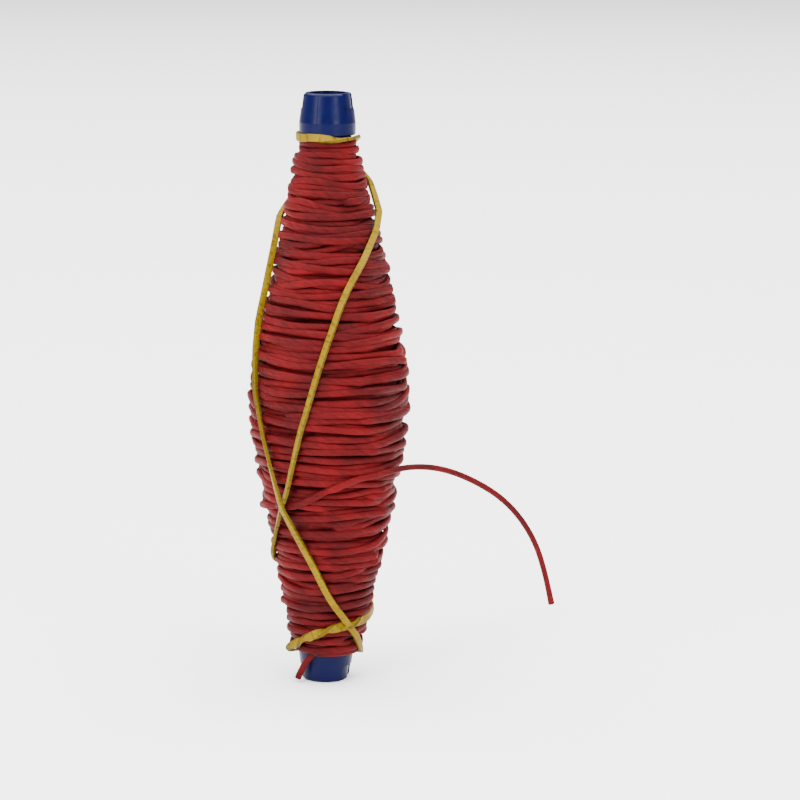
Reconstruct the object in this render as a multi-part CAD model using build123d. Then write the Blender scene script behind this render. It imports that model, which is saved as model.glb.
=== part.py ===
from build123d import *
from math import atan2, cos, degrees, pi, radians, sin, sqrt, tan
import os

# A hand-wound reel of chalk line: a hollow moulded core tube, one long line wound on it into a
# spindle shape, and one rubber band that keeps the turns in place. Millimetres, +Z up along the
# tube. The origin is the centre of the tube's lower end. Azimuth 0 faces -Y and grows towards +X.

# Driving dimensions
LENGTH = 200.0  # core tube, end to end
BORE_R = 6.0
LINE_D = 2.0
BAND_D = 2.0  # round section with the area of the flat band, 2.5 x 1.3
CLEAR = 0.2  # air between the band and what it passes over

# Core tube: a barrel with a tapered collar at each end, sizes from the end inwards
BARREL_R = 8.0
END_R = 8.1
COLLAR_R = 9.4
TAPER_LENGTH = 9.7
COLLAR_LENGTH = 13.8
RIM_ROUNDING = 1.0
COLLAR_ROUNDING = 0.5
FLAT_DEPTH = 0.8  # two shallow drive recesses on each taper
FLAT_LENGTH = 5.3
FLAT_ARC = 66.0
FLAT_AZIMUTHS = (71.0, 251.0)

# Winding: two straight flanks that a wide arc joins at the belly
WINDING_LOW = 8.5
WINDING_HIGH = 184.0
LOW_END_R = 11.5
HIGH_END_R = 9.8
APEX_Z = 97.4
APEX_R = 29.3
BELLY_ROUNDING = 112.0
END_ROUNDING = 1.5
TINY = 0.01  # two places closer than this are one

# Last turn of the line and its free end, x, y, z. It starts inside the winding.
TAIL_ROUTE = [
    (-9.5, -18.5, 64.5),
    (-1.5, -26.0, 70.0),
    (8.5, -26.0, 74.0),
    (18.5, -19.5, 75.5),
    (27.5, -12.0, 76.5),
    (38.5, -5.5, 74.5),
    (50.0, 0.0, 69.0),
    (61.0, 5.0, 61.0),
    (69.5, 9.0, 50.0),
    (75.0, 11.0, 37.0),
    (78.0, 12.5, 22.5),
]

# First end of the line, let out under the lowest turns
START_ROUTE = [
    (-2.5, -10.0, 12.5),
    (-5.5, -9.5, 9.5),
    (-8.0, -8.0, 5.5),
    (-9.5, -7.0, 1.5),
]

# Rubber band, closed: azimuth, height, and extra distance off what it lies on
BAND_ROUTE = [
    # across the front, under the top collar
    (-90, 185.6, 0.4),
    (-62, 185.4, 0.0),
    (-34, 185.8, 0.0),
    (-6, 185.6, 0.0),
    (22, 185.2, 0.0),
    (50, 185.4, 0.0),
    (78, 185.6, 0.0),
    # down the back to the left side, over the other run
    (104, 184.6, 0.2),
    (130, 182.6, 1.4),
    (156, 179.2, 2.6),
    (183, 175.0, 1.6),
    (210, 170.5, 0.6),
    (238, 165.0, 0.3),
    (264, 158.5, 0.3),
    (279, 149.0, 0.3),
    (284, 137.0, 0.2),
    (287, 123.5, 0.2),
    (294, 108.5, 0.2),
    (303, 94.0, 0.3),
    (313, 79.0, 1.2),
    # over the other run, then over the front to the lower right
    (322, 66.0, 2.9),
    (333, 54.0, 1.0),
    (348, 42.5, 0.3),
    (364, 32.0, 0.6),
    (384, 23.5, 2.6),
    (404, 16.8, 1.8),
    (424, 12.0, 0.5),
    # under the lowest turns, across the back
    (447, 9.8, 0.0),
    (471, 8.8, 0.0),
    (495, 8.2, 0.0),
    (519, 8.0, 0.0),
    (543, 8.0, 0.0),
    (567, 8.4, 0.0),
    (592, 9.0, 0.0),
    (618, 9.8, 0.2),
    # up across the front
    (645, 11.4, 0.2),
    (671, 14.2, 0.1),
    (697, 17.6, 0.1),
    (723, 20.2, 0.1),
    (749, 21.8, 0.0),
    (776, 22.6, 0.1),
    (802, 23.4, 0.4),
    # round the back and up the front to the top
    (828, 25.2, 0.3),
    (854, 27.6, 0.3),
    (880, 30.2, 0.3),
    (906, 32.8, 0.3),
    (932, 35.6, 0.3),
    (958, 38.4, 0.4),
    (984, 41.6, 0.6),
    (1007, 47.0, 0.4),
    (1028, 55.5, 0.2),
    (1044, 66.0, 0.1),
    (1054, 79.0, 0.1),
    (1063, 93.0, 0.2),
    (1072, 108.0, 0.2),
    (1082, 122.0, 0.2),
    (1094, 134.0, 0.3),
    (1110, 143.5, 0.6),
    (1130, 151.5, 1.0),
    (1151, 158.5, 2.2),
    (1170, 166.0, 1.9),
    (1190, 172.0, 0.6),
    (1214, 176.4, 0.0),
    (1240, 179.6, 0.0),
    (1266, 182.2, 0.0),
    (1292, 184.4, 0.1),
    (1320, 185.6, 0.2),
]


def around(azimuth, radius, z):
    """The point at this azimuth, radius and height."""
    a = radians(azimuth)
    return Vector(radius * sin(a), -radius * cos(a), z)


def core_radius(z):
    """Outer radius of the core tube, its rounded edges left out."""
    from_end = min(z, LENGTH - z)
    if from_end > COLLAR_LENGTH:
        return BARREL_R
    return min(COLLAR_R, END_R + (COLLAR_R - END_R) * from_end / TAPER_LENGTH)


def winding_radius(z):
    """Outer radius of the winding, its rounded ends left out."""
    low_slope = (APEX_R - LOW_END_R) / (APEX_Z - WINDING_LOW)
    high_slope = (APEX_R - HIGH_END_R) / (WINDING_HIGH - APEX_Z)
    low_angle = atan2(low_slope, 1)
    high_angle = atan2(high_slope, 1)
    tangent = BELLY_ROUNDING * tan((low_angle + high_angle) / 2)
    centre_z = APEX_Z - tangent * cos(low_angle) + BELLY_ROUNDING * sin(low_angle)
    centre_r = APEX_R - tangent * sin(low_angle) - BELLY_ROUNDING * cos(low_angle)
    if z < APEX_Z - tangent * cos(low_angle):
        return APEX_R - low_slope * (APEX_Z - z)
    if z > APEX_Z + tangent * cos(high_angle):
        return APEX_R - high_slope * (z - APEX_Z)
    return centre_r + sqrt(BELLY_ROUNDING**2 - (z - centre_z) ** 2)


def core_tube():
    """Core tube: revolved wall, with the drive recesses cut from both tapers."""
    upper = [
        (BORE_R, LENGTH),
        (END_R, LENGTH),
        (COLLAR_R, LENGTH - TAPER_LENGTH),
        (COLLAR_R, LENGTH - COLLAR_LENGTH),
        (BARREL_R, LENGTH - COLLAR_LENGTH),
    ]
    lower = [(r, LENGTH - z) for r, z in reversed(upper)]
    outline = make_face(Polyline(*upper, *lower, close=True))
    rims = outline.vertices().filter_by(lambda v: abs(v.X - END_R) < TINY)
    outline = fillet(rims, RIM_ROUNDING)
    inner_z = (COLLAR_LENGTH, LENGTH - COLLAR_LENGTH)
    edges = outline.vertices().filter_by(
        lambda v: v.X > COLLAR_R - TINY and min(abs(v.Y - z) for z in inner_z) < TINY
    )
    outline = fillet(edges, COLLAR_ROUNDING)
    tube = revolve(Plane.XZ * outline, Axis.Z)
    for azimuth in FLAT_AZIMUTHS:
        recess = drive_recess(azimuth)
        tube -= recess
        tube -= mirror(recess, Plane.XY.offset(LENGTH / 2))
    return tube


def drive_recess(azimuth):
    """The space of one recess at the upper end, which follows the taper FLAT_DEPTH under it."""
    floor = LENGTH - FLAT_LENGTH
    outline = Polyline(
        (core_radius(LENGTH) - FLAT_DEPTH, LENGTH),
        (core_radius(floor) - FLAT_DEPTH, floor),
        (2 * COLLAR_R, floor),
        (2 * COLLAR_R, LENGTH),
        close=True,
    )
    sector = revolve(Plane.XZ * make_face(outline), Axis.Z, revolution_arc=FLAT_ARC)
    return Rot(0, 0, azimuth - 90 - FLAT_ARC / 2) * sector


def line_winding():
    """The wound line as one solid of its outer shape, cut out for the core tube."""
    outline = Polyline(
        (BORE_R, WINDING_LOW),
        (LOW_END_R, WINDING_LOW),
        (APEX_R, APEX_Z),
        (HIGH_END_R, WINDING_HIGH),
        (BORE_R, WINDING_HIGH),
        close=True,
    )
    face = make_face(outline)
    face = fillet(face.vertices().sort_by(Axis.X)[-1], BELLY_ROUNDING)
    ends = face.vertices().filter_by(
        lambda v: v.X > BARREL_R and min(abs(v.Y - z) for z in (WINDING_LOW, WINDING_HIGH)) < TINY
    )
    face = fillet(ends, END_ROUNDING)
    package = revolve(Plane.XZ * face, Axis.Z)
    core = Polyline(
        (0, 0),
        (END_R, 0),
        (COLLAR_R, TAPER_LENGTH),
        (COLLAR_R, COLLAR_LENGTH),
        (BARREL_R, COLLAR_LENGTH),
        (BARREL_R, WINDING_HIGH + 1),
        (0, WINDING_HIGH + 1),
        close=True,
    )
    return package - revolve(Plane.XZ * make_face(core), Axis.Z)


def arc_radii(points, closed):
    """The largest arc at each point that leaves its two runs a straight middle."""
    corners = range(len(points)) if closed else range(1, len(points) - 1)
    radii = []
    for i in corners:
        before = points[i] - points[i - 1]
        after = points[(i + 1) % len(points)] - points[i]
        turn = radians(before.get_angle(after))
        radii.append(0.45 * min(before.length, after.length) / tan(turn / 2))
    return radii


def swept(path, diameter):
    """A round section swept along one open path."""
    section = Plane(origin=path @ 0, z_dir=path % 0) * Circle(diameter / 2)
    return sweep(section, path=path)


def report(name, tube, length, diameter, radii):
    """Prints the tube's arcs and how its volume compares with section times length."""
    share = tube.volume / (pi * diameter**2 / 4 * length)
    print(f"{name}: {length:.1f} mm long, volume is {share:.4f} of section times length")
    print("  arc radii " + " ".join(f"{r:.1f}" for r in radii))


def open_tube(name, points, diameter):
    """A tube along straight runs joined by tangent arcs."""
    radii = arc_radii(points, closed=False)
    path = FilletPolyline(*points, radius=radii)
    tube = swept(path, diameter)
    report(name, tube, path.length, diameter, radii)
    return tube


def closed_tube(name, points, diameter):
    """The same for a closed route, as two tubes that meet in the middle of two runs."""
    radii = arc_radii(points, closed=True)
    half = len(points) // 2
    start = (points[-1] + points[0]) / 2
    middle = (points[half - 1] + points[half]) / 2
    first = FilletPolyline(start, *points[:half], middle, radius=radii[:half])
    second = FilletPolyline(middle, *points[half:], start, radius=radii[half:])
    tube = swept(first, diameter) + swept(second, diameter)
    report(name, tube, first.length + second.length, diameter, radii)
    return tube


def line_tail(winding):
    """Last turn and free end of the line, cut where it comes out of the winding."""
    tube = open_tube("line_tail", [Vector(p) for p in TAIL_ROUTE], LINE_D)
    return (tube - winding).solids().sort_by(SortBy.VOLUME)[-1]


def line_start(winding):
    """First end of the line, cut where it comes out of the winding."""
    tube = open_tube("line_start", [Vector(p) for p in START_ROUTE], LINE_D)
    return (tube - winding).solids().sort_by(SortBy.VOLUME)[-1]


def resting_radius(z):
    """The widest radius that a section of the band at this height reaches over."""
    widest = 0
    for height in (z - BAND_D / 2, z, z + BAND_D / 2):
        widest = max(widest, core_radius(height))
        if WINDING_LOW <= height <= WINDING_HIGH:
            widest = max(widest, winding_radius(height))
    return widest


def rubber_band():
    """The band along its whole route, round the winding and the ends of the core tube."""
    points = []
    for i, (azimuth, z, extra) in enumerate(BAND_ROUTE):
        step = (azimuth - BAND_ROUTE[i - 1][0]) % 360
        chord = cos(radians(step / 2))
        points.append(around(azimuth, (resting_radius(z) + BAND_D / 2 + CLEAR) / chord + extra, z))
    return closed_tube("rubber_band", points, BAND_D)


winding = line_winding()
parts = {
    "core_tube": core_tube(),
    "line_winding": winding,
    "line_tail": line_tail(winding),
    "line_start": line_start(winding),
    "rubber_band": rubber_band(),
}
for first in parts:
    for second in parts:
        if first < second:
            shared = parts[first] & parts[second]
            print(f"{first} and {second} share {shared.volume if shared else 0:.3f} mm3")
os.makedirs("parts", exist_ok=True)
for node, shape in parts.items():
    export_step(shape, f"parts/{node}.step")
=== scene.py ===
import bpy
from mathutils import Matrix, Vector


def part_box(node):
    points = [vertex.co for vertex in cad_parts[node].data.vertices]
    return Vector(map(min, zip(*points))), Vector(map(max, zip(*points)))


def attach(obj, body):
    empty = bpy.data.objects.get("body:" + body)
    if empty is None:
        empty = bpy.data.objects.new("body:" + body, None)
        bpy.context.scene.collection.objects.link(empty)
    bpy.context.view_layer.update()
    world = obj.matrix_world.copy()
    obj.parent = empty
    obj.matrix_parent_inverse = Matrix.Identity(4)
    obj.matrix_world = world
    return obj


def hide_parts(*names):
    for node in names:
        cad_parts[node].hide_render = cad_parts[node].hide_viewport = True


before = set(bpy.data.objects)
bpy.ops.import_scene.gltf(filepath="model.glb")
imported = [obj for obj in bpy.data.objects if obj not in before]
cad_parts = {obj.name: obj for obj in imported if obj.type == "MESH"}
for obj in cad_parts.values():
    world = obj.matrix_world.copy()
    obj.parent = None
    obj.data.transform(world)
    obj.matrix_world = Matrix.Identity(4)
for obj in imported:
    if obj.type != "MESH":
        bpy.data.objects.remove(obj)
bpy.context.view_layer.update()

from math import atan, atan2, cos, pi, radians, sin, sqrt, tan

import bpy
import numpy as np
from mathutils import Matrix, Vector

MM = 0.001

# ---------------------------------------------------------------------------------------------
# Core tube: one hollow tube of injection-moulded polypropylene, dyed navy. It keeps its packed
# shape: a barrel with a tapered collar at each end, and two shallow recesses on each taper where
# the winding spindle gripped it.
# ---------------------------------------------------------------------------------------------


def add_node(tree, kind, settings=None, **links):
    """A node of that kind, its settings made and its inputs set or linked by name."""
    made = tree.nodes.new(kind)
    for name, value in (settings or {}).items():
        setattr(made, name, value)
    for name, value in links.items():
        numbered = name[1:].isdigit()
        socket = made.inputs[int(name[1:]) if numbered else name.replace("_", " ")]
        if isinstance(value, bpy.types.NodeSocket):
            tree.links.new(value, socket)
        else:
            socket.default_value = value
    return made


def linear(hex_colour):
    """The linear RGBA of an sRGB hex colour."""
    channels = [int(hex_colour[i : i + 2], 16) / 255 for i in (1, 3, 5)]
    return tuple(c / 12.92 if c < 0.04045 else ((c + 0.055) / 1.055) ** 2.4 for c in channels) + (1.0,)


def math_node(tree, operation, *values):
    """The result of one sum on numbers or sockets."""
    numbered = {f"_{i}": value for i, value in enumerate(values)}
    return add_node(tree, "ShaderNodeMath", {"operation": operation}, **numbered).outputs[0]


def mix_colours(tree, amount, first, second, blend="MIX"):
    """Two colours, each a socket or a value, mixed by an amount."""
    settings = {"data_type": "RGBA", "blend_type": blend}
    return add_node(tree, "ShaderNodeMix", settings, _0=amount, _6=first, _7=second).outputs[2]


def map_range(tree, value, from_low, from_high, to_low=0.0, to_high=1.0, kind="LINEAR"):
    """A value moved from one range to another and held inside it."""
    settings = {"interpolation_type": kind}
    ends = {"_1": from_low, "_2": from_high, "_3": to_low, "_4": to_high}
    return add_node(tree, "ShaderNodeMapRange", settings, Value=value, **ends).outputs[0]


def new_material(name):
    """An empty material with its shader, and the tree they are in."""
    material = bpy.data.materials.new(name)
    material.use_nodes = True
    tree = material.node_tree
    tree.nodes.clear()
    shader = add_node(tree, "ShaderNodeBsdfPrincipled")
    add_node(tree, "ShaderNodeOutputMaterial", Surface=shader.outputs["BSDF"])
    return material, tree, shader


def moulded_polypropylene():
    """Polypropylene straight from the mould: deep navy, satin, with faint scuffs and flow marks."""
    material, tree, shader = new_material("moulded_polypropylene_navy")
    place = add_node(tree, "ShaderNodeTexCoord").outputs["Object"]
    cloudy = add_node(tree, "ShaderNodeTexNoise", Vector=place, Scale=160.0, Detail=3.0)
    tone = mix_colours(tree, cloudy.outputs["Fac"], linear("#000227"), linear("#000332"))
    grain = add_node(tree, "ShaderNodeTexNoise", Vector=place, Scale=2600.0, Detail=4.0)
    scuffs = add_node(tree, "ShaderNodeTexNoise", Vector=place, Scale=420.0, Detail=6.0, Roughness=0.7)
    gloss = map_range(tree, scuffs.outputs["Fac"], 0.35, 0.7, 0.28, 0.42)
    split = add_node(tree, "ShaderNodeSeparateXYZ", Vector=place)
    seam_azimuth = radians(-22)
    seam_width = 0.16 * MM
    sideways = math_node(tree, "MULTIPLY", split.outputs["X"], cos(seam_azimuth))
    from_seam = math_node(tree, "MULTIPLY_ADD", split.outputs["Y"], sin(seam_azimuth), sideways)
    away = math_node(tree, "ABSOLUTE", from_seam)
    seam = map_range(tree, away, 0.0, seam_width, -1.0, 0.0)
    relief = math_node(tree, "MULTIPLY_ADD", grain.outputs["Fac"], 0.35, seam)
    bump = add_node(tree, "ShaderNodeBump", Height=relief, Strength=0.5, Distance=0.08 * MM)
    tree.links.new(tone, shader.inputs["Base Color"])
    tree.links.new(gloss, shader.inputs["Roughness"])
    tree.links.new(bump.outputs["Normal"], shader.inputs["Normal"])
    shader.inputs["IOR"].default_value = 1.49
    shader.inputs["Specular IOR Level"].default_value = 0.1
    return material


core_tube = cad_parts["core_tube"]
core_tube.data.materials.clear()
core_tube.data.materials.append(moulded_polypropylene())
core_low, core_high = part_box("core_tube")
CORE_LENGTH = core_high.z
COLLAR_R = core_high.x
COLLAR_LENGTH = 13.8 * MM
BARREL_R = COLLAR_R - 1.4 * MM

# ---------------------------------------------------------------------------------------------
# Chalk line, wound part: one long twisted cotton line, dyed red and loaded with wax and chalk.
# It is wound by turning the core while a finger guides the line up and down, most often over the
# middle, so the turns lie side by side, ride up on each other and build a spindle.
# ---------------------------------------------------------------------------------------------

LINE_WIDE = 2.0 * MM  # pressed flat by its own tension
LINE_HIGH = 1.25 * MM
PLUMP = (1.2, 1.4)  # how far each turn bulges into its neighbours, across and outwards
STEPS = 72  # points in one turn
ROW = 0.25 * MM  # height of one row of the map that the turns are laid on
FIRST_TURN = 10.0 * MM
LAST_TURN = CORE_LENGTH - 16.6 * MM
# the finished spindle: two straight flanks that a wide arc joins at the belly, as packed
WINDING_LOW = 8.5 * MM
WINDING_HIGH = 184.0 * MM
LOW_END_R = 11.5 * MM
HIGH_END_R = 9.8 * MM
APEX_Z = 97.4 * MM
APEX_R = 29.3 * MM
BELLY_ROUNDING = 112.0 * MM
OFF_CENTRE = 1.1 * MM  # the spindle is a little fuller on its right side


def belly_radius(z):
    """The radius that the finished winding has at each height."""
    low_slope = (APEX_R - LOW_END_R) / (APEX_Z - WINDING_LOW)
    high_slope = (APEX_R - HIGH_END_R) / (WINDING_HIGH - APEX_Z)
    low_angle = atan(low_slope)
    high_angle = atan(high_slope)
    tangent = BELLY_ROUNDING * tan((low_angle + high_angle) / 2)
    arc_low = APEX_Z - tangent * cos(low_angle)
    arc_high = APEX_Z + tangent * cos(high_angle)
    centre_z = arc_low + BELLY_ROUNDING * sin(low_angle)
    centre_r = APEX_R - tangent * sin(low_angle) - BELLY_ROUNDING * cos(low_angle)
    arc = centre_r + np.sqrt(np.maximum(BELLY_ROUNDING**2 - (z - centre_z) ** 2, 0))
    below = APEX_R - low_slope * (APEX_Z - z)
    above = APEX_R - high_slope * (z - APEX_Z)
    return np.where(z < arc_low, below, np.where(z > arc_high, above, arc))


def slow_noise(rng, period, count=9):
    """A smooth wandering function of the number of turns, about one in size."""
    rates = rng.uniform(0.35, 1.6, count) / period
    phases = rng.uniform(0, 2 * pi, count)
    scale = sqrt(2 / count)
    return lambda turn: scale * float(np.sin(2 * pi * rates * turn + phases).sum())


class Winding:
    """The line laid so far, and two maps of it by azimuth and height: the lowest radius where the
    next stretch can lie, and the outer skin."""

    def __init__(self, seed):
        self.rng = np.random.default_rng(seed)
        self.rows = np.arange(0, CORE_LENGTH, ROW)
        on_collar = (self.rows < COLLAR_LENGTH) | (self.rows > CORE_LENGTH - COLLAR_LENGTH)
        bare = np.where(on_collar, COLLAR_R, BARREL_R)
        self.skin = np.tile(bare, (STEPS, 1))
        self.floor = self.skin + LINE_HIGH / 2
        self.step = 0
        self.points = []
        self.radius = self.floor[0, 0]
        self.slide = 0.0

    def floor_at(self, column, z):
        return self.floor[column % STEPS, min(max(int(z / ROW + 0.5), 0), len(self.rows) - 1)]

    def raise_map(self, heights, column, z, radius, reach, rise):
        """Raises one column of a map to a half ellipse over the line's new point."""
        low = max(int((z - reach) / ROW), 0)
        high = min(int((z + reach) / ROW) + 2, len(self.rows))
        across = np.clip((self.rows[low:high] - z) / reach, -1, 1)
        over = np.where(np.abs(across) < 1, radius + rise * np.sqrt(1 - across**2), 0)
        heights[column, low:high] = np.maximum(heights[column, low:high], over)

    def lay(self, z, slope=0.0, settle=True):
        """Lays the next point near height z, pulled tight over what is under and ahead of it."""
        column = self.step % STEPS
        if settle:
            probe = 0.7 * MM
            middle = z + self.slide
            fall = self.floor_at(column, middle - probe) - self.floor_at(column, middle + probe)
            pushed = 0.98 * self.slide + min(max(0.09 * fall, -0.09 * MM), 0.09 * MM)
            self.slide = min(max(pushed, -0.9 * MM), 0.9 * MM)
            z += self.slide
        angle = 2 * pi / STEPS
        tight = self.floor_at(column, z)
        for ahead in range(2, 7):
            bound = self.floor_at(column + ahead - 1, z + slope * (ahead - 1))
            span = ahead * angle
            tight = max(tight, sin(span) / (sin(span - angle) / self.radius + sin(angle) / bound))
        self.radius = tight
        self.raise_map(self.floor, column, z, tight, LINE_WIDE, LINE_HIGH)
        self.raise_map(self.skin, column, z, tight, LINE_WIDE / 2, LINE_HIGH / 2)
        self.points.append((angle * self.step, tight, z))
        self.step += 1

    def missing(self, last_layer):
        """How far the winding is under its finished shape, at each height."""
        window = np.ones(25) / 25
        surface = np.convolve(self.skin.mean(axis=0) + 0.2 * LINE_HIGH, window, "same")
        short = belly_radius(self.rows) - last_layer - surface
        short[(self.rows < FIRST_TURN) | (self.rows > LAST_TURN)] = -1
        return short


def blurred(heights, reach, axis):
    """The map smoothed along one of its axes."""
    weights = np.hanning(reach) / np.hanning(reach).sum()
    return sum(k * np.roll(heights, i - reach // 2, axis=axis) for i, k in enumerate(weights))


def press(w):
    """Draws the winding in to its finished shape, height by height, as its tension does."""
    half = LINE_HIGH / 2
    core = np.where(w.rows < COLLAR_LENGTH, COLLAR_R, BARREL_R)
    crest = np.max([np.roll(w.skin, shift, axis=1) for shift in range(-5, 6)], axis=0)
    crest = blurred(blurred(crest, 13, 0), 27, 1)
    azimuth = 2 * pi * np.arange(STEPS)[:, None] / STEPS
    off_centre = OFF_CENTRE * np.interp(w.rows, np.array([10, 40, 150, 178]) * MM, [0.2, 1.0, 1.0, 0.1])
    goal = belly_radius(w.rows) + off_centre * np.sin(azimuth)
    most = np.interp(w.rows, [LAST_TURN - 10 * MM, LAST_TURN], [1.5, 0.85])
    share = np.clip((goal - half - core) / np.maximum(crest - half - core, half), 0.4, most)
    share[:, (w.rows < FIRST_TURN) | (w.rows > LAST_TURN + half)] = 1.0
    w.skin = core + half + (w.skin - half - core) * share
    w.floor = core + half + (w.floor - half - core) * share
    pressed = []
    for turned, radius, z in w.points:
        column = int(round(turned / (2 * pi) * STEPS)) % STEPS
        row = min(int(z / ROW + 0.5), len(w.rows) - 1)
        bare = core[row] + half
        pressed.append((turned, bare + max(radius - bare, 0) * share[column, row], z))
    w.points = pressed
    w.radius = pressed[-1][1]
    return w


def low_limit(turned):
    """The lowest turns dip across the front, over the first end of the line."""
    away = (turned + radians(6) + pi) % (2 * pi) - pi
    return float(FIRST_TURN + 1.6 * MM - 3.0 * MM * np.exp(-((away / radians(34)) ** 2)))


def wind(seed, start_z, start_azimuth, tail_height):
    """The whole winding: a build-up wherever the spindle is still thin, then one neat run down to
    the height where the last turn leaves."""
    w = Winding(seed)
    w.step = int(round(start_azimuth / (2 * pi) * STEPS)) + STEPS
    w.radius = w.floor_at(w.step, start_z)
    drift = slow_noise(w.rng, 3.2)
    ripple = slow_noise(w.rng, 0.5)
    started = w.step
    z = start_z
    heading = -1
    pace = 1.0
    first_run = True
    building = True
    while True:
        if (w.step - started) % STEPS == 0:
            last_layer = np.where(w.rows > tail_height, 1.8 * LINE_HIGH, 0.6 * LINE_HIGH)
            short = w.missing(last_layer if building else 0.0)
            here = np.interp(z + heading * 2 * MM, w.rows, short) / LINE_HIGH
            top = LAST_TURN - (9 * MM if building else 1 * MM)
            at_end = z > top if heading > 0 else z < FIRST_TURN + 3 * MM
            if w.step == started:
                pace = 1.0
            elif building and first_run:
                first_run = not at_end or heading < 0
                heading = -1 if at_end and heading > 0 else 1
                pace = w.rng.normal(1.0, 0.05)
            elif building:
                gap = (w.rows - z) * heading
                ahead = (gap > 0) & (short > np.where(gap < 30 * MM, 0.7, 1.3) * LINE_HIGH)
                behind = (gap <= 0) & (short > 0.7 * LINE_HIGH)
                if not ahead.any():
                    building = bool(behind.any())
                    heading = -heading if building else 1
                pace = w.rng.normal(1.0, 0.06) * min(max(2.0 - 1.1 * here, 0.94), 3.6)
            else:
                heading = -1 if at_end else heading
                pace = w.rng.normal(1.0, 0.06) * (1.0 if heading < 0 else 5.0)
        turn = w.step / STEPS
        turned = 2 * pi * turn
        stray = 0.6 if building else 0.9
        climb = heading * pace * 0.92 * LINE_WIDE / STEPS
        z = min(max(z + climb, low_limit(turned)), LAST_TURN)
        near_end = min(1.0, (LAST_TURN - z) / (22 * MM), (z - FIRST_TURN) / (12 * MM))
        aim = z + max(0.0, near_end) * stray * (0.9 * MM * drift(turn) + 0.75 * MM * ripple(turn))
        aim = min(max(aim, low_limit(turned)), LAST_TURN)
        w.lay(aim, climb)
        azimuth = (turned + pi) % (2 * pi) - pi
        arrived = aim < tail_height + 1.0 * MM and abs(azimuth + radians(110)) < radians(3)
        if not building and heading < 0 and arrived:
            return press(w)


# ---------------------------------------------------------------------------------------------
# Chalk line, free end: the last turn climbs across the front and stands off to the right, held
# out by its wax, then droops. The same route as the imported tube.
# ---------------------------------------------------------------------------------------------

TAIL_ROUTE = [
    (-9.5, -18.5, 64.5),
    (-1.5, -26.0, 70.0),
    (8.5, -26.0, 74.0),
    (18.5, -19.5, 75.5),
    (27.5, -12.0, 76.5),
    (38.5, -5.5, 74.5),
    (50.0, 0.0, 69.0),
    (61.0, 5.0, 61.0),
    (69.5, 9.0, 50.0),
    (75.0, 11.0, 37.0),
    (78.0, 12.5, 22.5),
]
START_ROUTE = [
    (-2.5, -10.0, 12.5),
    (-5.5, -9.5, 9.5),
    (-8.0, -8.0, 5.5),
    (-9.5, -7.0, 1.5),
]


def smooth_line(name, route, resolution=16):
    """Points along the smooth line that has the route's points as its controls."""
    curve = bpy.data.curves.new(name, "CURVE")
    curve.dimensions = "3D"
    curve.resolution_u = resolution
    spline = curve.splines.new("NURBS")
    spline.points.add(len(route) - 1)
    for point, place in zip(spline.points, route):
        point.co = (*(Vector(place) * MM), 1.0)
    spline.order_u = 3
    spline.use_endpoint_u = True
    holder = bpy.data.objects.new(name, curve)
    bpy.context.scene.collection.objects.link(holder)
    bpy.context.view_layer.update()
    mesh = bpy.data.meshes.new_from_object(holder.evaluated_get(bpy.context.evaluated_depsgraph_get()))
    points = np.array([v.co[:] for v in mesh.vertices])
    bpy.data.objects.remove(holder)
    bpy.data.meshes.remove(mesh)
    return points


def evenly(points, spacing):
    """The same line with its points an even distance apart."""
    gaps = np.linalg.norm(np.diff(points, axis=0), axis=1)
    along = np.concatenate([[0], np.cumsum(gaps)])
    count = max(2, int(round(along[-1] / spacing)) + 1)
    at = np.linspace(0, along[-1], count)
    return np.stack([np.interp(at, along, points[:, i]) for i in range(3)], 1)


tail_line = evenly(smooth_line("tail_route", TAIL_ROUTE), 0.5 * MM)
start_line = evenly(smooth_line("start_route", START_ROUTE), 0.5 * MM)

# the winding is laid from the first end to where the last turn starts its climb
tail_azimuths = np.arctan2(tail_line[:, 0], -tail_line[:, 1])
LIFT_OFF = radians(44)
climb_azimuths = tail_azimuths[: int(np.argmax(tail_azimuths > LIFT_OFF)) + 1]
climb_heights = tail_line[: len(climb_azimuths), 2]
start_azimuth = atan2(start_line[0, 0], -start_line[0, 1])
winding = wind(23, start_line[0, 2], start_azimuth, tail_line[0, 2] - 3.5 * MM)
from_azimuth = (2 * pi * winding.step / STEPS + pi) % (2 * pi) - pi
from_height = winding.points[-1][2]
ramp_azimuths = np.concatenate([[from_azimuth], climb_azimuths])
ramp_heights = np.concatenate([[from_height], climb_heights])
azimuth = from_azimuth
while azimuth < LIFT_OFF:
    winding.lay(float(np.interp(azimuth, ramp_azimuths, ramp_heights)), 0.0, settle=False)
    azimuth += 2 * pi / STEPS
laid = np.array(winding.points)


def slow_waves(along, period, seed):
    """A smooth wandering along a line, about one in size, for each distance along it."""
    rng = np.random.default_rng(seed)
    rates = rng.uniform(0.35, 1.6, 7) / period
    phases = rng.uniform(0, 2 * pi, 7)
    return sqrt(2 / 7) * np.sin(2 * pi * rates * along[:, None] + phases).sum(axis=1)


def unit(vectors):
    return vectors / np.linalg.norm(vectors, axis=-1, keepdims=True)


def lengths_along(points):
    """Distance along the line at each of its points."""
    return np.concatenate([[0], np.cumsum(np.linalg.norm(np.diff(points, axis=0), axis=1))])


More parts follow.
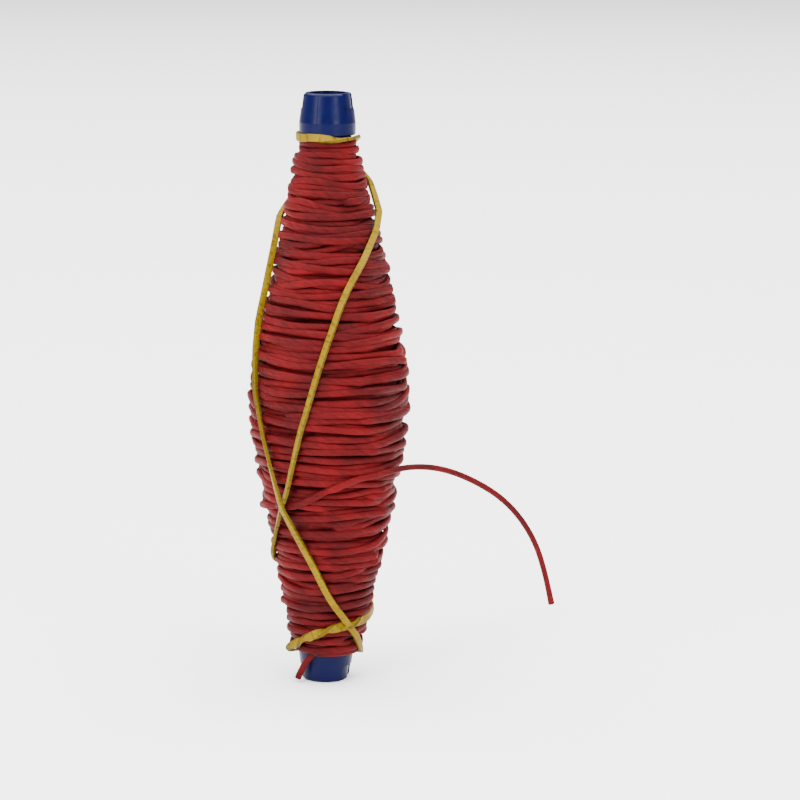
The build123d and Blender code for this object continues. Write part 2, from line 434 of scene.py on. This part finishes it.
def sweep(name, centres, outward, half_wide, half_high, sides, material, corner=1.0, roll=None, along=None):
    """A skin of rings round a line, with its length and its way round kept as a map for the material.
    outward is where the thin side of each section faces; the seam of the map is on the other side."""
    if along is None:
        along = lengths_along(centres)
    count = len(centres)
    ahead = unit(np.gradient(centres, axis=0))
    across = unit(np.cross(ahead, outward))
    up = np.cross(across, ahead)
    turn = -pi / 2 + 2 * pi * np.arange(sides) / sides
    wide = half_wide[:, None] * np.sign(np.cos(turn)) * np.abs(np.cos(turn)) ** corner
    high = half_high[:, None] * np.sign(np.sin(turn)) * np.abs(np.sin(turn)) ** corner
    if roll is not None:
        c, s = np.cos(roll)[:, None], np.sin(roll)[:, None]
        wide, high = wide * c - high * s, wide * s + high * c
    vertices = centres[:, None] + wide[..., None] * across[:, None] + high[..., None] * up[:, None]
    ring = np.arange(count - 1)[:, None] * sides
    side = np.arange(sides)[None, :]
    after = (side + 1) % sides
    quads = np.stack([ring + side, ring + after, ring + sides + after, ring + sides + side], axis=-1)
    mesh = bpy.data.meshes.new(name)
    mesh.vertices.add(count * sides)
    mesh.vertices.foreach_set("co", vertices.ravel())
    mesh.loops.add(quads.size)
    mesh.loops.foreach_set("vertex_index", quads.ravel())
    mesh.polygons.add(quads.size // 4)
    mesh.polygons.foreach_set("loop_start", np.arange(0, quads.size, 4))
    mesh.update(calc_edges=True)
    v = np.stack([side, side + 1, side + 1, side], axis=-1) / sides + np.zeros((count - 1, 1, 1))
    u = np.stack([along[:-1], along[:-1], along[1:], along[1:]], axis=-1)[:, None] + np.zeros((1, sides, 1))
    mesh.uv_layers.new(name="line").data.foreach_set("uv", np.stack([u, v], axis=-1).ravel())
    mesh.polygons.foreach_set("use_smooth", np.ones(len(mesh.polygons), dtype=bool))
    mesh.materials.append(material)
    obj = bpy.data.objects.new(name, mesh)
    bpy.context.scene.collection.objects.link(obj)
    return obj


def twisted_cotton():
    """Three-ply cotton, dyed red, waxed and chalked: the fibres lie in slanting stripes, the chalked
    crests are paler and the clefts are darker with painted shade, and the fibre ends give it a sheen."""
    material, tree, shader = new_material("twisted_cotton_waxed_red")
    lay = 13 * MM
    uv = add_node(tree, "ShaderNodeUVMap", {"uv_map": "line"}).outputs["UV"]
    split = add_node(tree, "ShaderNodeSeparateXYZ", Vector=uv)
    along, around = split.outputs["X"], split.outputs["Y"]
    slant = math_node(tree, "MULTIPLY_ADD", along, 1 / lay, around)
    fibres_in = add_node(tree, "ShaderNodeCombineXYZ", X=slant, Y=along)
    stretched = add_node(tree, "ShaderNodeMapping", Vector=fibres_in.outputs[0], Scale=(34.0, 170.0, 1.0))
    fibre_noise = add_node(
        tree, "ShaderNodeTexNoise", Vector=stretched.outputs[0], Scale=1.0, Detail=3.0, Roughness=0.65
    )
    fibres = fibre_noise.outputs["Fac"]
    plies_wave = math_node(tree, "SINE", math_node(tree, "MULTIPLY", slant, 3 * pi))
    plies = math_node(tree, "ABSOLUTE", plies_wave)
    place = add_node(tree, "ShaderNodeTexCoord").outputs["Object"]
    patches = add_node(tree, "ShaderNodeTexNoise", Vector=place, Scale=48.0, Detail=4.0, Roughness=0.6)
    lengthwise = add_node(tree, "ShaderNodeMapping", Vector=uv, Scale=(28.0, 0.4, 1.0))
    runs = add_node(tree, "ShaderNodeTexNoise", Vector=lengthwise.outputs[0], Scale=1.0, Detail=3.0)
    # painted shade: the ply wave darkens the colour in the clefts between plies and lightens the chalked
    # crests
    crest = math_node(tree, "MULTIPLY_ADD", plies, 0.08, fibres)
    mixed = math_node(tree, "MULTIPLY_ADD", patches.outputs["Fac"], 1.1, crest)
    chalk_and_cleft_shade = math_node(tree, "MULTIPLY_ADD", runs.outputs["Fac"], 0.5, mixed)
    amount = map_range(tree, chalk_and_cleft_shade, 1.0, 1.9, kind="SMOOTHSTEP")
    tone = mix_colours(tree, amount, linear("#2C0002"), linear("#660409"))
    relief = math_node(tree, "MULTIPLY_ADD", plies, 0.25, fibres)
    bump = add_node(tree, "ShaderNodeBump", Height=relief, Strength=0.6, Distance=0.16 * MM)
    tree.links.new(tone, shader.inputs["Base Color"])
    tree.links.new(bump.outputs["Normal"], shader.inputs["Normal"])
    shader.inputs["Roughness"].default_value = 0.62
    shader.inputs["IOR"].default_value = 1.46
    shader.inputs["Sheen Weight"].default_value = 0.04
    shader.inputs["Sheen Roughness"].default_value = 0.4
    shader.inputs["Sheen Tint"].default_value = linear("#F0A4A0")
    shader.inputs["Specular IOR Level"].default_value = 0.1
    return material


cotton = twisted_cotton()


def wound_at(turned_steps):
    """Centre and outward direction of the laid line at each fractional step."""
    steps = np.arange(len(laid))
    angle, radius, height = (np.interp(turned_steps, steps, laid[:, i]) for i in range(3))
    outward = np.stack([np.sin(angle), -np.cos(angle), np.zeros(len(angle))], axis=1)
    centres = outward * radius[:, None]
    centres[:, 2] = height
    return centres, outward


# rings are close together where the line can be seen, and further apart deep inside
rows_laid = np.clip(np.round(laid[:, 2] / ROW).astype(int), 0, len(winding.rows) - 1)
columns_laid = np.round(laid[:, 0] / (2 * pi) * STEPS).astype(int) % STEPS
covered = winding.skin[columns_laid, rows_laid] - laid[:, 1]
seen = np.convolve(covered < 1.6 * LINE_HIGH, np.ones(9), "same") > 0
laid_centres, _ = wound_at(np.arange(len(laid)))
laid_along = lengths_along(laid_centres)
spacing = np.where(seen, 1.25 * MM, 4.5 * MM)
ring_count = np.concatenate([[0], np.cumsum(np.diff(laid_along) / spacing[1:])])
ring_steps = np.interp(np.arange(0, ring_count[-1], 1.0), ring_count, np.arange(len(laid)))

centres, outward = wound_at(ring_steps)
tail_offset = centres[-1] - tail_line[len(climb_azimuths) - 1]
free = tail_line[len(climb_azimuths) :]
free_along = lengths_along(np.vstack([centres[-1:], free]))[1:]
free = free + tail_offset * np.exp(-free_along[:, None] / (9 * MM))
start_fade = np.exp(-lengths_along(start_line)[::-1, None] / (4 * MM))
start = start_line[::-1] + (centres[0] - start_line[0]) * start_fade
WOUND_PIECES = 4
cuts = np.linspace(0, len(centres) - 1, WOUND_PIECES + 1).astype(int)
made_along = 0.0
for number in range(WOUND_PIECES):
    low, high = cuts[number], cuts[number + 1]
    line = centres[low : high + 1]
    facing = outward[low : high + 1]
    if number == 0:
        line = np.vstack([start[:-1], line])
        facing = np.vstack([np.tile(facing[0], (len(start) - 1, 1)), facing])
    wide = np.full(len(line), LINE_WIDE / 2 * PLUMP[0])
    tall = np.full(len(line), LINE_HIGH / 2 * PLUMP[1])
    if number == 0:
        round_end = np.exp(-lengths_along(line) / (9 * MM))
        wide = wide + (1.1 * MM - wide) * round_end
        tall = tall + (1.05 * MM - tall) * round_end
    along = made_along + lengths_along(line)
    wide = wide * (1 + 0.045 * slow_waves(along, 30 * MM, 3))
    tall = tall * (1 + 0.045 * slow_waves(along, 22 * MM, 4))
    piece = sweep(
        f"chalk_line_wound_{number + 1}", line, facing, wide, tall, 12, cotton, corner=0.85, along=along,
    )
    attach(piece, "root")
    nodes = ("line_winding", "line_start") if number == 0 else ("line_winding",)
    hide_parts(*nodes)
    made_along = along[-1]

SUNK = 4  # rings of the tail that lie inside the last wound ones, a little smaller
free = np.vstack([centres[-SUNK:], free])
free_along = lengths_along(free)
into_round = np.clip((free_along - free_along[SUNK]) / (16 * MM), 0, 1)
flare = np.clip((free_along - free_along[-1] + 9 * MM) / (9 * MM), 0, 1) ** 2
free_wide = 0.98 * (wide[-1] + (1.0 * MM - wide[-1]) * into_round) + 0.14 * MM * flare
free_tall = 0.98 * (tall[-1] + (0.98 * MM - tall[-1]) * into_round) + 0.14 * MM * flare
facing = outward[-1] * np.ones((len(free), 1))
facing[:, 2] += 0.6 * into_round
tail_along = made_along - free_along[SUNK - 1] + free_along
tail = sweep(
    "chalk_line_tail", free, facing, free_wide, free_tall, 12, cotton, corner=0.85, along=tail_along,
)
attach(tail, "root")
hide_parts("line_tail")

# ---------------------------------------------------------------------------------------------
# Rubber band: a flat natural rubber band, cut from a moulded tube, aged and stretched round the
# reel so that the line can't unwind. It twists where it was pulled over the ends.
# ---------------------------------------------------------------------------------------------

BAND_WIDE = 2.2 * MM
BAND_THICK = 1.2 * MM
FLAT_SHARE = 0.45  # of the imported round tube's lift, all that the thin flat band needs
# closed: azimuth in degrees, height in mm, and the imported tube's lift in mm
BAND_ROUTE = [
    # across the front, under the top collar
    (-90, 185.6, 0.4),
    (-62, 185.4, 0.0),
    (-34, 185.8, 0.0),
    (-6, 185.6, 0.0),
    (22, 185.2, 0.0),
    (50, 185.4, 0.0),
    (78, 185.6, 0.0),
    # down the back to the left side, over the other run
    (104, 184.6, 0.2),
    (130, 182.6, 1.4),
    (156, 179.2, 2.6),
    (183, 175.0, 1.6),
    (210, 170.5, 0.6),
    (238, 165.0, 0.3),
    (264, 158.5, 0.3),
    (279, 149.0, 0.3),
    (284, 137.0, 0.2),
    (287, 123.5, 0.2),
    (294, 108.5, 0.2),
    (303, 94.0, 0.3),
    (313, 79.0, 1.2),
    # over the other run, then over the front to the lower right
    (322, 66.0, 2.9),
    (333, 54.0, 1.0),
    (348, 42.5, 0.3),
    (364, 32.0, 0.6),
    (384, 23.5, 2.6),
    (404, 16.8, 1.8),
    (424, 12.0, 0.5),
    # under the lowest turns, across the back
    (447, 9.8, 0.0),
    (471, 8.8, 0.0),
    (495, 8.2, 0.0),
    (519, 8.0, 0.0),
    (543, 8.0, 0.0),
    (567, 8.4, 0.0),
    (592, 9.0, 0.0),
    (618, 9.8, 0.2),
    # up across the front
    (645, 11.4, 0.2),
    (671, 14.2, 0.1),
    (697, 17.6, 0.1),
    (723, 20.2, 0.1),
    (749, 21.8, 0.0),
    (776, 22.6, 0.1),
    (802, 23.4, 0.4),
    # round the back and up the front to the top
    (828, 25.2, 0.3),
    (854, 27.6, 0.3),
    (880, 30.2, 0.3),
    (906, 32.8, 0.3),
    (932, 35.6, 0.3),
    (958, 38.4, 0.4),
    (984, 41.6, 0.6),
    (1007, 47.0, 0.4),
    (1028, 55.5, 0.2),
    (1044, 66.0, 0.1),
    (1054, 79.0, 0.1),
    (1063, 93.0, 0.2),
    (1072, 108.0, 0.2),
    (1082, 122.0, 0.2),
    (1094, 134.0, 0.3),
    (1110, 143.5, 0.6),
    (1130, 151.5, 1.0),
    (1151, 158.5, 2.2),
    (1170, 166.0, 1.9),
    (1190, 172.0, 0.6),
    (1214, 176.4, 0.0),
    (1240, 179.6, 0.0),
    (1266, 182.2, 0.0),
    (1292, 184.4, 0.1),
    (1320, 185.6, 0.2),
]
# how far the flat side has turned, in degrees, at some azimuths
TWIST = [
    (-90, 0), (-30, 0), (30, 90), (100, 120), (160, 180), (250, 230), (330, 345), (450, 360),
    (600, 360), (640, 390), (700, 720), (770, 1080), (1180, 1140), (1240, 1080), (1350, 1080),
]


def closed_samples(table, per_gap):
    """A closed smooth run through rows of numbers, of which the first goes on growing."""
    count = len(table)
    turns = np.array([360 * round((table[-1, 0] - table[0, 0]) / 360), 0, 0])
    made = []
    for i in range(count):
        around_it = [table[(i + k) % count] + turns * ((i + k) // count) for k in (-1, 0, 1, 2)]
        before, here, after, later = around_it
        for part in np.arange(per_gap) / per_gap:
            made.append(
                here
                + 0.5 * part * (after - before)
                + part**2 * (before - 2.5 * here + 2 * after - 0.5 * later)
                + part**3 * (1.5 * here - 0.5 * before - 1.5 * after + 0.5 * later)
            )
    return np.array(made)


band = closed_samples(np.array(BAND_ROUTE, dtype=float), 12)
band = band * [pi / 180, MM, FLAT_SHARE * MM]


def round_reel(table):
    """Where each row of azimuth, height and lift is, if the reel had its finished shape."""
    radius = belly_radius(table[:, 1]) + table[:, 2]
    return np.stack([radius * np.sin(table[:, 0]), -radius * np.cos(table[:, 0]), table[:, 1]], axis=1)


full_circles = 2 * pi * round((band[-1, 0] - band[0, 0]) / (2 * pi))
shut = np.vstack([band, band[0] + [full_circles, 0, 0]])
band_along = lengths_along(round_reel(shut))
evenly_at = np.linspace(0, band_along[-1], int(band_along[-1] / (0.8 * MM)), endpoint=False)
band_azimuth, band_z, band_lift = (np.interp(evenly_at, band_along, shut[:, i]) for i in range(3))
twist_at, twist = np.radians(TWIST).T
band_roll = np.interp(band_azimuth, twist_at, twist)
under = np.zeros(len(band_z))
for shift in (-1, 0, 1):
    column = np.round(band_azimuth / (2 * pi) * STEPS + shift).astype(int) % STEPS
    for rise in (-0.8 * MM, 0.0, 0.8 * MM):
        row = np.clip(np.round((band_z + rise) / ROW).astype(int), 0, len(winding.rows) - 1)
        under = np.maximum(under, winding.skin[column, row])
half_up = np.sqrt((BAND_THICK / 2 * np.cos(band_roll)) ** 2 + (BAND_WIDE / 2 * np.sin(band_roll)) ** 2)
resting = under + half_up + band_lift - 0.45 * MM
step_angle = np.diff(band_azimuth, append=band_azimuth[0] + full_circles)
band_radius = resting.copy()
for _ in range(600):  # pulled straight wherever nothing holds it out
    between = (np.roll(band_radius, 1) + np.roll(band_radius, -1)) / 2 * np.cos(step_angle)
    band_radius = np.maximum(resting, between)
band_out = np.stack([np.sin(band_azimuth), -np.cos(band_azimuth), np.zeros(len(band_z))], axis=1)
band_line = band_out * band_radius[:, None]
band_line[:, 2] = band_z


def aged_rubber():
    """Natural rubber gone dull and stiff: amber, with painted shade on its narrow cut sides, and fine
    cracks across it.
    """
    material, tree, shader = new_material("natural_rubber_aged")
    uv = add_node(tree, "ShaderNodeUVMap", {"uv_map": "line"}).outputs["UV"]
    place = add_node(tree, "ShaderNodeTexCoord").outputs["Object"]
    blotches = add_node(tree, "ShaderNodeTexNoise", Vector=place, Scale=110.0, Detail=4.0, Roughness=0.6)
    tone = mix_colours(tree, blotches.outputs["Fac"], linear("#5C4400"), linear("#7E6800"))
    stretched = add_node(tree, "ShaderNodeMapping", Vector=uv, Scale=(900.0, 2.5, 1.0))
    cracks = add_node(tree, "ShaderNodeTexNoise", Vector=stretched.outputs[0], Scale=1.0, Detail=4.0)
    deep = map_range(tree, cracks.outputs["Fac"], 0.36, 0.5, 0.55, 1.0)
    dulled = mix_colours(tree, 1.0, tone, deep, blend="MULTIPLY")
    # painted shade: the narrow sides of the band are darkened in colour, as if the light reached them less
    # than the flat faces
    around = add_node(tree, "ShaderNodeSeparateXYZ", Vector=uv).outputs["Y"]
    facing = math_node(tree, "COSINE", math_node(tree, "MULTIPLY", around, 2 * pi))
    flat_face = math_node(tree, "ABSOLUTE", facing)
    painted_edge_shade = map_range(tree, flat_face, 0.25, 0.6, 0.55, 1.0)
    shaded = mix_colours(tree, 1.0, dulled, painted_edge_shade, blend="MULTIPLY")
    bump = add_node(tree, "ShaderNodeBump", Height=cracks.outputs["Fac"], Strength=0.35, Distance=0.1 * MM)
    tree.links.new(shaded, shader.inputs["Base Color"])
    tree.links.new(bump.outputs["Normal"], shader.inputs["Normal"])
    shader.inputs["Roughness"].default_value = 0.5
    shader.inputs["IOR"].default_value = 1.52
    shader.inputs["Specular IOR Level"].default_value = 0.08
    shader.inputs["Subsurface Weight"].default_value = 0.05
    shader.inputs["Subsurface Radius"].default_value = (1.0 * MM, 0.5 * MM, 0.2 * MM)
    shader.inputs["Subsurface Scale"].default_value = 1.0
    return material


# it swells where it is slack, at the top left and along the twisted run
slack_at = np.radians([-90, 0, 60, 130, 600, 640, 780, 830, 1240, 1350])
slack = np.interp(band_azimuth, slack_at, [1.25, 1.15, 0.85, 1.0, 1.0, 1.4, 1.35, 1.0, 1.0, 1.25])
loop = list(range(len(band_line))) + [0]
rubber = sweep(
    "rubber_band_flat", band_line[loop], band_out[loop], slack[loop] * BAND_WIDE / 2,
    slack[loop] * BAND_THICK / 2, 24, aged_rubber(), corner=0.3,
    roll=np.append(band_roll, band_roll[0] + twist[-1]),
)
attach(rubber, "root")
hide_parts("rubber_band")

# ---------------------------------------------------------------------------------------------
# Floor and light: a white sweep under a large overhead light, with a soft light from the left
# front and a weaker one from the right front.
# ---------------------------------------------------------------------------------------------


def white_paper():
    material, tree, shader = new_material("white_paper_floor")
    shader.inputs["Base Color"].default_value = linear("#F7F7F6")
    shader.inputs["Roughness"].default_value = 0.9
    return material


floor_mesh = bpy.data.meshes.new("floor")
FLOOR_HALF = 6.0
corners = [(x * FLOOR_HALF, y * FLOOR_HALF, 0) for x, y in ((-1, -1), (1, -1), (1, 1), (-1, 1))]
floor_mesh.from_pydata(corners, [], [(0, 1, 2, 3)])
floor_mesh.materials.append(white_paper())
floor = bpy.data.objects.new("floor", floor_mesh)
bpy.context.scene.collection.objects.link(floor)


def soft_light(name, place, target, size, power):
    """A square area light that faces the target, all in mm and W."""
    lamp = bpy.data.lights.new(name, "AREA")
    lamp.size = size * MM
    lamp.energy = power
    made = bpy.data.objects.new(name, lamp)
    made.location = Vector(place) * MM
    made.rotation_euler = (Vector(target) * MM - made.location).to_track_quat("-Z", "Y").to_euler()
    bpy.context.scene.collection.objects.link(made)


soft_light("key_left", (-640, -640, 420), (0, 0, 100), 420, 9.5)
soft_light("fill_right", (560, -760, 380), (0, 0, 100), 300, 5.0)
soft_light("overhead", (0, 0, 3000), (0, 0, 0), 6000, 900.0)
world = bpy.data.worlds.new("studio")
world.use_nodes = True
world.node_tree.nodes["Background"].inputs["Color"].default_value = (1.0, 1.0, 1.0, 1.0)
world.node_tree.nodes["Background"].inputs["Strength"].default_value = 0.45
bpy.context.scene.world = world

# ---------------------------------------------------------------------------------------------
# Camera, at the height and distance that the object is seen from.
# ---------------------------------------------------------------------------------------------

camera = bpy.data.objects.new("camera", bpy.data.cameras.new("camera"))
bpy.context.scene.collection.objects.link(camera)
bpy.context.scene.camera = camera
EYE = Vector((0.0, -982.0, 287.0)) * MM
AIM = Vector((24.7, 0.0, 96.6)) * MM
ROLL = radians(0.44)
camera.data.lens = 133.6
towards = (AIM - EYE).to_track_quat("-Z", "Y").to_matrix().to_4x4()
camera.matrix_world = Matrix.Translation(EYE) @ towards @ Matrix.Rotation(ROLL, 4, "Z")
